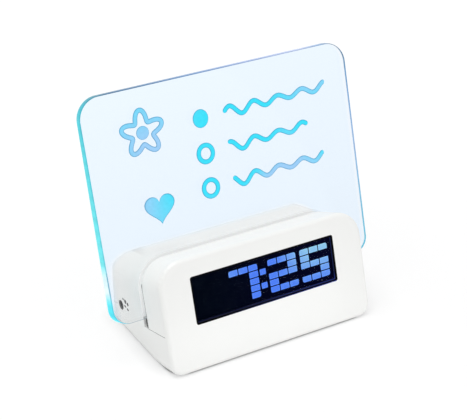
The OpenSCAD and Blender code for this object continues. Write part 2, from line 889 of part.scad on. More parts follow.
// End plates of the battery compartment, with a spring leaf at each cell's foot
module battery_contacts() {
    leaf_w = 4;
    leaf_t = 0.4;
    leaf_root = 3 * leaf_t - contact_h / 2;
    leaf_tip = contact_t + leaf_h - fit_gap;
    plate_inset = 0.8;
    plate_half = cell_pitch / 2 - plate_inset;
    end_inner = box_l / 2 - contact_t;
    rows = [[1, 0, 0], [-1, 0, 1], [1, 1, 2], [-1, 2, 2]];
    color(steel) placed() {
        for (row = rows) translate([row[0] * (end_inner + contact_t / 2), 0, cell_z])
            translate([-contact_t / 2, cell_y(row[1]) - plate_half, -contact_h / 2])
                cube([contact_t, cell_y(row[2]) - cell_y(row[1]) + 2 * plate_half, contact_h]);
        for (i = [0:CELL_COUNT - 1]) translate([-cell_side(i) * box_l / 2, cell_y(i) - leaf_w / 2, cell_z])
            rotate([90, 0, 0]) mirror([cell_side(i) > 0 ? 0 : 1, 0, 0]) translate([0, 0, -leaf_w])
                linear_extrude(leaf_w) polygon([[0, -contact_h / 2], [contact_t, -contact_h / 2],
                    [leaf_tip, 0], [leaf_tip, leaf_t], [contact_t, leaf_root], [0, leaf_root]]);
    }
}

module case_screws() {
    color(steel) placed() for (boss = BOSSES) on_both_sides(boss_x, boss[0])
        translate([0, 0, seam_z(boss[1], boss[0]) - screw_seat])
            screw(case_screw_d, screw_seat + case_screw_grip, case_head_r);
}

// Places its children at the four feet, at the floor's underside
module on_feet() {
    for (y = [foot_front_y, foot_back_y]) on_both_sides(foot_x, y) children();
}

module rubber_feet() {
    color(soft_black) placed() on_feet() translate([0, 0, -foot_h])
        cylinder(d = foot_d, h = foot_h + foot_recess);
}

front_cover();
display_hood();
rear_housing();
base_shell();
battery_door();
message_board();
board_seat();
led_board();
edge_leds();
display_window();
display_panel();
display_backlight();
display_frame();
contact_strips();
main_board();
clock_chip();
quartz_crystal();
buzzer();
main_board_screws();
control_board();
push_switches();
push_button(0);  // mode_button
push_button(1);  // set_button
push_button(2);  // up_button
push_button(3);  // down_button
push_button(4);  // light_button
switch_plunger(0);  // mode_plunger
switch_plunger(1);  // set_plunger
switch_plunger(2);  // up_plunger
switch_plunger(3);  // down_plunger
switch_plunger(4);  // light_plunger
slide_switch();
switch_knob();
power_jack();
control_board_screws();
ribbon_cable();
led_lead();
battery(0);  // battery_1
battery(1);  // battery_2
battery(2);  // battery_3
battery_contacts();
case_screws();
rubber_feet();
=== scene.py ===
"""Looks of a memo board clock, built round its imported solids: finishes, lit display and board, and stage."""
import json
import math

import bpy
import numpy as np
from bpy.props import FloatProperty, FloatVectorProperty, PointerProperty
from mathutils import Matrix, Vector


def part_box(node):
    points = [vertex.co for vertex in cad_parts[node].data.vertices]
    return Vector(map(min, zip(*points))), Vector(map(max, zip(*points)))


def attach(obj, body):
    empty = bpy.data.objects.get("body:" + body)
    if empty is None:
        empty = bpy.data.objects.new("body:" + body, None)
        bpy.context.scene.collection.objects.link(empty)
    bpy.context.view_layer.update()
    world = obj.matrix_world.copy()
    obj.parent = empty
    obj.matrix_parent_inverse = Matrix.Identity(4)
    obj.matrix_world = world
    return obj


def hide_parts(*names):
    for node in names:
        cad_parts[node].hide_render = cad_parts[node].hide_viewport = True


bl_info = {
    "name": "Memo Board Clock",
    "version": (1, 0, 0),
    "blender": (4, 5, 0),
    "location": "View3D > Sidebar > Clock",
    "description": "Finishes, lit display, edge-lit writing board and stage of a desk clock",
    "category": "Object",
}

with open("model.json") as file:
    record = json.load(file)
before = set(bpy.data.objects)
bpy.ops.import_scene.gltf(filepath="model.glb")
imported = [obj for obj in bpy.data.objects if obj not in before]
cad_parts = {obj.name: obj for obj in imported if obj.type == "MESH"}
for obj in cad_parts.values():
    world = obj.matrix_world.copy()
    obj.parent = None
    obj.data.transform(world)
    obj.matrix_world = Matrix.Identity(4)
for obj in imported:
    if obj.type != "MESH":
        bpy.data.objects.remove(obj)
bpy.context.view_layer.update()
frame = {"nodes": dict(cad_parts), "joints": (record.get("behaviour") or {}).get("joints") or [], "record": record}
MM = 0.001

# The leaning frame of the face: across, back into it, and up along it as the board lifts
ACROSS = np.array((1.0, 0.0, 0.0))
UP = np.array(next(j for j in frame["joints"] if j["name"] == "board_lift")["axis"], float)
BACK = np.array((0.0, UP[2], -UP[1]))
LEAN = math.atan2(UP[1], UP[2])


def display_colour(red, green, blue):
    """Scene-linear colour of an 8-bit display colour."""
    c = np.array((red, green, blue)) / 255
    return tuple(np.where(c <= 0.04045, c / 12.92, ((c + 0.055) / 1.055) ** 2.4).round(5).tolist())


def reach(node):
    """Lowest and highest place of a CAD node across, back and up in the leaning frame."""
    mesh = frame["nodes"][node].data
    co = np.empty(3 * len(mesh.vertices), np.float32)
    mesh.vertices.foreach_get("co", co)
    along = co.reshape(-1, 3).astype(float) @ np.stack([ACROSS, BACK, UP], 1)
    return along.min(0), along.max(0)


def leaning(x, depth, height):
    """Row-frame points of places given across, back and up in the leaning frame."""
    x, depth, height = np.broadcast_arrays(x, depth, height)
    return x[..., None] * ACROSS + depth[..., None] * BACK + height[..., None] * UP


def leaning_at(x, height):
    """Map to row-frame points for a shape of the leaning frame whose middle is moved to x and height."""
    return lambda across, depth, up: leaning(across + x, depth, up + height)


class ClockSettings(bpy.types.PropertyGroup):
    """Sizes and colours of the clock's finishes."""

    edge_round: FloatProperty(
        name="Edge round", description="Rounding of the moulded edges", default=0.3 * MM, unit="LENGTH")
    # The seam's dark line is painted shade in the groove between the shells
    seam_width: FloatProperty(
        name="Seam width", description="Dark line where two shells meet", default=0.28 * MM, unit="LENGTH")
    board_arris: FloatProperty(
        name="Board arris", description="Polished round along the board's edges", default=0.35 * MM,
        unit="LENGTH")
    stroke_width: FloatProperty(
        name="Stroke width", description="Width of a marker stroke", default=2.7 * MM, unit="LENGTH")
    block_gap: FloatProperty(
        name="Block gap", description="Dark gap between the digit blocks", default=0.62 * MM, unit="LENGTH")
    shell_white: FloatVectorProperty(
        name="Shell white", description="Moulded housing", subtype="COLOR", size=3,
        default=(0.86, 0.865, 0.85))
    # Painted light: the glow given to the slot's rear wall stands in for the light of the board's lamps
    slot_glow: FloatProperty(
        name="Slot glow", description="Light that the board's lamps spill on the slot's rear wall",
        default=0.27)
    board_tint: FloatVectorProperty(
        name="Board tint", description="Light that one face of the board lets through", subtype="COLOR",
        size=3, default=(0.905, 0.952, 0.997))
    marker_cyan: FloatVectorProperty(
        name="Marker cyan", description="Bright part of a glowing stroke", subtype="COLOR", size=3,
        default=display_colour(45, 226, 252))
    marker_pale: FloatVectorProperty(
        name="Marker pale", description="Pale part of a glowing stroke", subtype="COLOR", size=3,
        default=display_colour(158, 205, 248))
    marker_rim: FloatVectorProperty(
        name="Marker rim", description="Dried rim of a stroke", subtype="COLOR", size=3,
        default=display_colour(60, 140, 185))
    digit_deep: FloatVectorProperty(
        name="Digit blue", description="Lit blocks on the left", subtype="COLOR", size=3,
        default=display_colour(80, 131, 250))
    digit_pale: FloatVectorProperty(
        name="Digit pale", description="Lit blocks at the upper right", subtype="COLOR", size=3,
        default=display_colour(152, 210, 240))
    display_dark: FloatVectorProperty(
        name="Display dark", description="Unlit display", subtype="COLOR", size=3,
        default=(0.0015, 0.002, 0.006))


def settings():
    """The open scene's settings of the clock."""
    return bpy.context.scene.memo_clock


def new_object(name, data):
    """Object at the origin for a mesh, a lamp or a camera, linked into the scene."""
    obj = bpy.data.objects.new(name, data)
    bpy.context.scene.collection.objects.link(obj)
    return obj


def dress(node, finish):
    """Give a CAD node one finish."""
    mesh = frame["nodes"][node].data
    mesh.materials.clear()
    mesh.materials.append(finish)


# Geometry

# Least corner radius of a plate's loop, and half the step across its start as a share of the plate's width
LEAST_RADIUS, START_STEP = 0.02 * MM, 0.004
# Points along a plate's quarter-round edge and round a bead, and loops from a blob's rim to its middle
ARRIS_POINTS, BEAD_POINTS, BLOB_LOOPS = 5, 20, 14
# Shares of a bead's half width that are left out at its open ends, and of a blob's outline in its middle
BEAD_END, BLOB_MIDDLE = 0.02, 0.08
# How deep the foot of a bead or a blob is sunk, as a share of its height
SUNK = 0.1


def loft(loops, ring=False, attributes=None):
    """Closed surface through loops of points: quads from each loop to the next, and a flat face over the
    first and the last loop, or quads from the last back to the first for a ring. Turned outward by its signed
    volume."""
    rows, cols = loops.shape[:2]
    row = np.arange(rows if ring else rows - 1)[:, None]
    col = np.arange(cols)[None, :]
    row_next, col_next = (row + 1) % rows, (col + 1) % cols
    quads = np.stack([row * cols + col, row * cols + col_next, row_next * cols + col_next,
                      row_next * cols + col], -1).reshape(-1, 4)
    ends = np.stack([np.arange(cols)[::-1], np.arange(cols) + (rows - 1) * cols])
    caps = ends[:0] if ring else ends
    points = loops.reshape(-1, 3)
    about = points - points.mean(0)
    a, b, c, d = (about[quads[:, i]] for i in range(4))
    fan = about[caps]
    first = np.broadcast_to(fan[:, :1], fan[:, 2:].shape)
    volume = (np.einsum("ij,ij->", a, np.cross(b, c)) + np.einsum("ij,ij->", a, np.cross(c, d))
              + np.einsum("ijk,ijk->", first, np.cross(fan[:, 1:-1], fan[:, 2:])))
    step = 1 if volume > 0 else -1
    grid = {name: np.broadcast_to(value, (rows, cols)).ravel() for name, value in (attributes or {}).items()}
    return {"points": points, "quads": quads[:, ::step], "caps": caps[:, ::step], "attributes": grid}


def rounded_plate(width, height, radii, insets, depths, place, arc=12):
    """Plate on a rectangle with rounded corners: one loop for each inset and depth of its profile. A loop
    starts beside the middle of the lower edge and takes a quarter circle at the lower right, upper right,
    upper left and lower left corner, whose radius shrinks with the inset. place maps across, depth and height
    to row-frame points. Attributes: around the outline from 0 to 1, through from the front to the back, and
    rim from the middle out."""
    insets, depths = np.asarray(insets, float), np.asarray(depths, float)
    inset = insets[:, None, None]
    radius = np.maximum(np.asarray(radii, float)[None, :, None] - inset, LEAST_RADIUS)
    turn = ((np.arange(4)[:, None] - 1) * np.pi / 2 + np.linspace(0, np.pi / 2, arc)[None, :])[None]
    side_x = np.array((1, 1, -1, -1))[None, :, None]
    side_y = np.array((-1, 1, 1, -1))[None, :, None]
    count = len(insets)
    x = (side_x * (width / 2 - inset - radius) + radius * np.cos(turn)).reshape(count, -1)
    y = (side_y * (height / 2 - inset - radius) + radius * np.sin(turn)).reshape(count, -1)
    start = np.full((count, 1), START_STEP * width)
    low = insets[:, None] - height / 2
    x, y = np.concatenate([start, x, -start], 1), np.concatenate([low, y, low], 1)
    outer = np.argmin(insets)
    steps = np.hypot(np.diff(x[outer]), np.diff(y[outer]))
    around = np.concatenate([[0], np.cumsum(steps)]) / (steps.sum() + 2 * start[0, 0])
    through = (depths - depths.min()) / np.ptp(depths)
    rim = 1 - insets / insets.max()
    return loft(place(x, depths[:, None], y), attributes={
        "around": around[None], "through": through[:, None], "rim": rim[:, None]})


def rounded_ring(width, height, radii, insets, depths, place):
    """Ring on a rectangle with rounded corners: a plate's loops, but the last one joins the first."""
    plate = rounded_plate(width, height, radii, insets, depths, place)
    return loft(plate["points"].reshape(len(insets), -1, 3), ring=True)


def arris_profile(front, back, arris):
    """Insets and depths of a plate's profile: over a quarter round, straight back, and over another one."""
    bend = np.linspace(0, np.pi / 2, ARRIS_POINTS)
    return (np.concatenate([arris * (1 - np.sin(bend)), arris * (1 - np.cos(bend))]),
            np.concatenate([front + arris * (1 - np.cos(bend)), back - arris * (1 - np.sin(bend))]))


def bead(path, normal, width, height, closed=False):
    """Bead along a path on a surface: at each point a half ellipse stands across the path, width wide and
    height high, its foot sunk a little. An open bead shrinks to round ends. Attribute: across, 0 on its
    crown."""
    path = np.asarray(path, float)
    normal = np.broadcast_to(np.asarray(normal, float), path.shape)
    if closed:
        tangent = np.roll(path, -1, 0) - np.roll(path, 1, 0)
        swell = np.ones(len(path))
    else:
        tangent = np.gradient(path, axis=0)
        run = np.concatenate([[0], np.cumsum(np.linalg.norm(np.diff(path, axis=0), axis=1))])
        near = np.clip(np.minimum(run, run[-1] - run) / (width / 2), BEAD_END, 1)
        swell = np.sqrt(1 - (1 - near) ** 2)
    side = np.cross(tangent, normal)
    side /= np.linalg.norm(side, axis=1)[:, None]
    turn = np.linspace(0, 2 * np.pi, BEAD_POINTS, endpoint=False)
    lateral = width / 2 * np.cos(turn)[None] * swell[:, None]
    rise = np.where(np.sin(turn) > 0, height * np.sin(turn), -SUNK * height)[None] * swell[:, None]
    loops = path[:, None] + lateral[..., None] * side[:, None] + rise[..., None] * normal[:, None]
    return loft(loops, ring=closed, attributes={"across": np.abs(np.cos(turn))[None]})


def blob(outline, normal, height):
    """Filled patch inside an outline on a surface: loops shrink towards its middle while the surface rises as
    the fourth root of what is left, so that it is flat in the middle and round at its rim. Attribute: across,
    as on a bead."""
    middle = outline.mean(0)
    share = np.linspace(1, BLOB_MIDDLE, BLOB_LOOPS)
    rise = np.concatenate([[-SUNK], (1 - share ** 4) ** 0.25]) * height
    share = np.concatenate([[1.0], share])
    lifted = rise[:, None, None] * np.asarray(normal, float)
    loops = middle + share[:, None, None] * (outline - middle)[None] + lifted
    return loft(loops, attributes={"across": share[:, None] ** 6})


def make_piece(name, parts, finishes, body, cap_finish=0):
    """One object from several closed surfaces: their arrays are put end to end, flat caps stay flat and the
    rest is shaded smooth. It rides on a body; its caps take the finish at cap_finish and the rest the first one."""
    starts = np.cumsum([0] + [len(p["points"]) for p in parts])
    quads = np.concatenate([p["quads"] + start for p, start in zip(parts, starts)])
    caps = [cap for p, start in zip(parts, starts) for cap in (p["caps"] + start).tolist()]
    is_cap = np.arange(len(quads) + len(caps)) >= len(quads)
    mesh = bpy.data.meshes.new(name)
    mesh.from_pydata(np.concatenate([p["points"] for p in parts]).tolist(), [], quads.tolist() + caps)
    for finish in finishes:
        mesh.materials.append(finish)
    mesh.polygons.foreach_set("use_smooth", ~is_cap)
    mesh.polygons.foreach_set("material_index", np.where(is_cap, cap_finish, 0).astype(np.int32))
    for key in parts[0]["attributes"]:
        values = np.concatenate([p["attributes"][key] for p in parts]).astype(np.float32)
        mesh.attributes.new(key, "FLOAT", "POINT").data.foreach_set("value", values)
    if mesh.validate():
        raise RuntimeError(name + " has faulty faces")
    piece = new_object(name, mesh)
    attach(piece, body)
    return piece


# Finishes

class Finish:
    """Procedural shading, of a new material or of a world, that is put together node by node."""

    def __init__(self, name=None, world=None):
        self.owner = world or bpy.data.materials.new(name)
        self.owner.use_nodes = True
        self.tree = self.owner.node_tree
        self.tree.nodes.clear()

    def add(self, kind, inputs=None, **options):
        """Node of a kind. An input is linked if a socket is given for it, and set if a value is."""
        node = self.tree.nodes.new(kind)
        for key, value in options.items():
            setattr(node, key, value)
        for key, value in (inputs or {}).items():
            if isinstance(value, bpy.types.NodeSocket):
                self.tree.links.new(value, node.inputs[key])
            else:
                node.inputs[key].default_value = value
        return node

    def object_place(self):
        return self.add("ShaderNodeTexCoord").outputs["Object"]

    def face_place(self):
        """Object place turned into the leaning frame, as separate across, back and up."""
        turned = self.add("ShaderNodeMapping", {"Vector": self.object_place(), "Rotation": (LEAN, 0, 0)})
        return self.add("ShaderNodeSeparateXYZ", {"Vector": turned.outputs[0]}).outputs

    def noise(self, scale, detail=2.0):
        return self.add("ShaderNodeTexNoise", {
            "Vector": self.object_place(), "Scale": scale, "Detail": detail}).outputs[0]

    def attribute(self, name):
        return self.add("ShaderNodeAttribute", attribute_name=name).outputs["Fac"]

    def spread(self, value, low, high, to_low=0.0, to_high=1.0, smooth=False):
        """Value whose stretch from low to high is mapped to another one, and that stays at its ends."""
        return self.add("ShaderNodeMapRange", {
            "Value": value, "From Min": low, "From Max": high, "To Min": to_low, "To Max": to_high},
            interpolation_type="SMOOTHSTEP" if smooth else "LINEAR").outputs[0]

    def between(self, noise, low, high):
        """Value that follows a noise from low to high: nearly all of a noise lies between 0.3 and 0.7."""
        return self.spread(noise, 0.3, 0.7, low, high)

    def stretch(self, value, start, end):
        """1 between two places, with a ramp up from 0 over start and one back down over end."""
        return self.times(self.spread(value, *start), self.spread(value, *end, 1.0, 0.0))

    def math(self, operation, a, b=0.0):
        return self.add("ShaderNodeMath", {0: a, 1: b}, operation=operation).outputs[0]

    def times(self, first, *others):
        for other in others:
            first = self.math("MULTIPLY", first, other)
        return first

    def length(self, a, b):
        """Square root of the sum of two squares."""
        return self.math("SQRT", self.math("ADD", self.math("POWER", a, 2.0), self.math("POWER", b, 2.0)))

    def outside(self, places, middle, half, corner):
        """Distance from a rectangle with round corners, in two coordinates, negative inside."""
        past = []
        for place, centre, side in zip(places, middle, half):
            away = self.math("ABSOLUTE", self.math("SUBTRACT", place, centre))
            past.append(self.math("MAXIMUM", self.math("SUBTRACT", away, side - corner), 0.0))
        return self.math("SUBTRACT", self.length(*past), corner)

    def blend(self, share, a, b):
        a, b = (c if isinstance(c, bpy.types.NodeSocket) else (*c, 1.0) for c in (a, b))
        mix = self.add("ShaderNodeMix", {"Factor": share, "A": a, "B": b}, data_type="RGBA")
        return mix.outputs["Result"]

    def ramp(self, value, stops):
        node = self.add("ShaderNodeValToRGB", {"Fac": value})
        elements = node.color_ramp.elements
        while len(elements) < len(stops):
            elements.new(0.5)
        for element, (place, colour) in zip(elements, stops):
            element.position = place
            element.color = (*colour, 1.0)
        return node.outputs["Color"]

    def bump(self, height, strength, distance):
        return self.add("ShaderNodeBump", {
            "Height": height, "Strength": strength, "Distance": distance}).outputs[0]

    def principled(self, **inputs):
        """Finished material of the principled kind. Inputs are named with low lines for their spaces."""
        named = {key.replace("_", " "): (*value, 1.0) if isinstance(value, tuple) else value
                 for key, value in inputs.items()}
        return self.out(self.add("ShaderNodeBsdfPrincipled", named).outputs[0])

    def glowing(self, base, roughness, gloss, colour, strength, **more):
        """Surface that gives off light of its own."""
        return self.principled(
            Base_Color=base, Roughness=roughness, Specular_IOR_Level=gloss, Emission_Color=colour,
            Emission_Strength=strength, **more)

    def glazing(self, tint, mirror, roughness):
        """Clear sheet: what is seen through it is tinted, and it mirrors a share that grows with the fifth
        power towards a grazing view. Light that falls through it on other things stays white."""
        path = self.add("ShaderNodeLightPath").outputs
        lighting = self.math("MAXIMUM", path["Is Shadow Ray"], path["Is Diffuse Ray"])
        tint = self.blend(lighting, tint, (1.0, 1.0, 1.0))
        clear = self.add("ShaderNodeBsdfTransparent", {"Color": tint}).outputs[0]
        gloss = self.add("ShaderNodeBsdfGlossy", {"Roughness": roughness}).outputs[0]
        grazing = self.math("POWER", self.add("ShaderNodeLayerWeight", {"Blend": 0.5}).outputs["Facing"], 5.0)
        share = self.times(self.spread(grazing, 0.0, 1.0, mirror, 0.9), self.math("SUBTRACT", 1.0, lighting))
        return self.out(self.add("ShaderNodeMixShader", {0: share, 1: clear, 2: gloss}).outputs[0])

    def out(self, surface):
        self.add("ShaderNodeOutputMaterial", {"Surface": surface})
        return self.owner


# Roughness of the mouldings. Below 0.275 a denoised render sets the smoother patches apart.
MOULDING_ROUGHNESS = (0.28, 0.36)
# Distances behind the slot wall's face between which its painted light ends
WALL_GLOW_END = (0.02 * MM, 0.1 * MM)


def moulded_white(name, lit_depth=None):
    """Glossy white moulding: a faint drift of tone, gloss that varies a little, and a fine orange-peel skin.
    With a painted light depth, the wall that faces forward there gets painted light: a glow of its own that
    stands in for the light that the board's lamps spill on it."""
    f = Finish(name)
    white = settings().shell_white
    drift = f.noise(45.0, 3.0)
    glow = {}
    # Painted light: the forward-facing wall at that depth glows in place of the lamps' spill on it
    if lit_depth is not None:
        near, far = (lit_depth + end for end in WALL_GLOW_END)
        glow = {"Emission_Color": (1.0, 1.0, 1.0),
                "Emission_Strength": f.spread(f.face_place()[1], near, far, settings().slot_glow, 0.0)}
    return f.principled(
        Base_Color=f.blend(drift, tuple(0.985 * c for c in white), white),
        Roughness=f.between(drift, *MOULDING_ROUGHNESS), Normal=f.bump(f.noise(900.0), 0.05, 0.03 * MM),
        Coat_Weight=0.25, Coat_Roughness=0.1, **glow)


def plain_finish(name, colour, low, high, metallic=0.0, grain=0.04 * MM):
    """Finish of a small part: two tones of its colour, roughness between low and high, and a fine grain."""
    f = Finish(name)
    drift = f.noise(120.0, 4.0)
    return f.principled(
        Base_Color=f.blend(drift, tuple(0.8 * c for c in colour), colour), Metallic=metallic,
        Roughness=f.between(drift, low, high), Normal=f.bump(f.noise(600.0), 0.15, grain))


# Pieces

SHELLS = ("front_cover", "display_hood", "rear_housing", "base_shell", "battery_door")


class CLOCK_OT_shells(bpy.types.Operator):
    """Give the moulded shells their white finish and softly rounded edges"""

    bl_idname = "memo_clock.shells"
    bl_label = "Housing shells"

    # Corners of the CAD triangles closer than this are joined
    JOIN = 0.001 * MM
    # Edges sharper than this are rounded, in so many steps
    SHARP, ROUND_STEPS = math.radians(35), 2
    # How strongly the larger faces set the shading beside an edge
    FACE_WEIGHT = 100

    def execute(self, context):
        white = moulded_white("moulded_white")
        # The rear housing's copy has painted light on the slot's rear wall
        lit = moulded_white("moulded_white_lit", reach("rear_housing")[0][1])
        for node in SHELLS:
            dress(node, lit if node == "rear_housing" else white)
            shell = frame["nodes"][node]
            shell.modifiers.new("join", "WELD").merge_threshold = self.JOIN
            bevel = shell.modifiers.new("edge", "BEVEL")
            bevel.width = settings().edge_round
            bevel.segments = self.ROUND_STEPS
            bevel.limit_method = "ANGLE"
            bevel.angle_limit = self.SHARP
            shade = shell.modifiers.new("shade", "WEIGHTED_NORMAL")
            shade.mode = "FACE_AREA"
            shade.weight = self.FACE_WEIGHT
            shade.keep_sharp = True
        return {"FINISHED"}


class CLOCK_OT_seams(bpy.types.Operator):
    """Draw the dark lines of painted shade where the shells meet, and dark strips of painted shade behind the
    hood's foot
    """

    bl_idname = "memo_clock.seams"
    bl_label = "Seams"

    BACK_CORNER = 5 * MM
    HOOD_CORNER = 14 * MM
    # How far from the jack's middle the rear seam starts
    JACK_ROOM = 3.7 * MM
    # How far the line along the slot stays in front of the hood's back edge
    SLOT_INSET = 0.35 * MM
    # Widths of the lines along the slot and below the rear housing, as shares of the seam below the hood
    SLOT_LINE, REAR_LINE = 1.6, 0.45
    LINE_RISE = 0.04 * MM
    # Dark strips of painted shade in the groove behind the hood: their width, depth, corner and arris
    SEAL_WIDTH, SEAL_DEPTH, SEAL_CORNER, SEAL_ARRIS = 3.0 * MM, 2.0 * MM, 0.4 * MM, 0.2 * MM
    # Room from a strip of painted shade to the hood's side and back, and to its ends in all
    SEAL_SIDE, SEAL_BACK, SEAL_ENDS = 0.3 * MM, 0.05 * MM, 0.5 * MM

    def rear_path(self):
        """The seam below the rear housing: from the jack round both back corners to the right side's slot. It
        runs on the upright walls, level with the foot of the board."""
        (left, _, _), (right, back, _) = (np.array(c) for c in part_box("rear_housing"))
        jack_low, jack_high = (np.array(c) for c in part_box("power_jack"))
        jack = (jack_low[1] + jack_high[1]) / 2
        level = reach("message_board")[0][2]
        front = leaning(0.0, reach("rear_housing")[0][1], level)[1]
        c = self.BACK_CORNER
        turn = np.linspace(0, np.pi / 2, 16)
        cos, sin = np.cos(turn), np.sin(turn)

        def seated(x, y, nx, ny):
            """Points on the upright walls at the leaning level, and the walls' normals there."""
            x, y, nx, ny = np.broadcast_arrays(x, y, nx, ny)
            return (np.stack([x, y, (level - y * UP[1]) / UP[2]], 1), np.stack([nx, ny, 0 * nx], 1))

        parts = [seated(left, np.linspace(jack + self.JACK_ROOM, back - c, 40)[:-1], -1.0, 0.0),
                 seated(left + c - c * cos, back - c + c * sin, -cos, sin),
                 seated(np.linspace(left + c, right - c, 120)[1:-1], back, 0.0, 1.0),
                 seated(right - c + c * sin, back - c + c * cos, sin, cos),
                 seated(right, np.linspace(back - c, front, 60)[1:], 1.0, 0.0)]
        return [np.concatenate(p) for p in zip(*parts)]

    def lines(self, low, high):
        """Lines of painted shade: on each side of the hood the seam below it and the line along the slot, and
        the rear seam.
        """
        width = settings().seam_width
        along = np.linspace(low[1], high[1], 60)
        upward = np.linspace(low[2], high[2] - self.HOOD_CORNER, 60)
        lines = []
        for x in (low[0], high[0]):
            normal = (np.sign(x), 0.0, 0.0)
            slot = leaning(x, high[1] - self.SLOT_INSET, upward)
            lines.append(bead(leaning(x, along, low[2]), normal, width, self.LINE_RISE))
            lines.append(bead(slot, normal, self.SLOT_LINE * width, self.LINE_RISE))
        lines.append(bead(*self.rear_path(), self.REAR_LINE * width, self.LINE_RISE))
        return lines

    def seals(self, low, high):
        """Upright dark strips behind the hood's back edge, from its foot to the foot of the board: painted
        shade in the groove there.
        """
        foot = reach("message_board")[0][2]
        front = high[1] + self.SEAL_BACK
        inset, depth = arris_profile(front, front + self.SEAL_DEPTH, self.SEAL_ARRIS)
        aside = self.SEAL_SIDE + self.SEAL_WIDTH / 2
        return [rounded_plate(self.SEAL_WIDTH, foot - low[2] - self.SEAL_ENDS, [self.SEAL_CORNER] * 4, inset,
                              depth, leaning_at(x, (low[2] + foot) / 2))
                for x in (low[0] + aside, high[0] - aside)]

    def execute(self, context):
        low, high = reach("display_hood")
        # Dark grey beads that paint the shade in the seams' grooves
        shade = plain_finish("seam_shade", (0.16, 0.165, 0.17), 0.7, 0.85)
        make_piece("seam_lines", self.lines(low, high), [shade], "housing")
        # Near-black strips that paint the shade in the groove behind the hood's back edge
        foam = plain_finish("seal_foam", (0.012, 0.012, 0.013), 0.85, 0.95, grain=0.1 * MM)
        make_piece("slot_seals", self.seals(low, high), [foam], "housing")
        return {"FINISHED"}


class CLOCK_OT_fittings(bpy.types.Operator):
    """Give the buttons, feet, screws, boards and cells their finishes"""

    bl_idname = "memo_clock.fittings"
    bl_label = "Fittings"

    def execute(self, context):
        dark = settings().display_dark
        looks = {
            "white_gloss": moulded_white("button_white"),
            "circuit": plain_finish("board_green", (0.05, 0.22, 0.1), 0.35, 0.5),
            "light_source": plain_finish("lamp_white", (0.75, 0.88, 1.0), 0.3, 0.4),
            "display_glass": plain_finish("panel_glass", dark, 0.2, 0.3),
            "dark_window": plain_finish("window_dark", dark, 0.1, 0.2),
            "black_plastic": plain_finish("black_plastic", (0.02, 0.02, 0.022), 0.4, 0.55),
            "soft_rubber": plain_finish("foot_rubber", (0.03, 0.03, 0.032), 0.75, 0.9, grain=0.1 * MM),
            "steel": plain_finish("bright_steel", (0.62, 0.63, 0.65), 0.22, 0.38, metallic=1.0),
            "cable": plain_finish("cable_grey", (0.5, 0.51, 0.53), 0.45, 0.6),
            "cell": plain_finish("cell_sleeve", (0.06, 0.14, 0.6), 0.3, 0.4),
        }
        for row in frame["record"]["subparts"]:
            if row["node"] not in (*SHELLS, "message_board"):
                dress(row["node"], looks[row["material_slot"]])
        return {"FINISHED"}


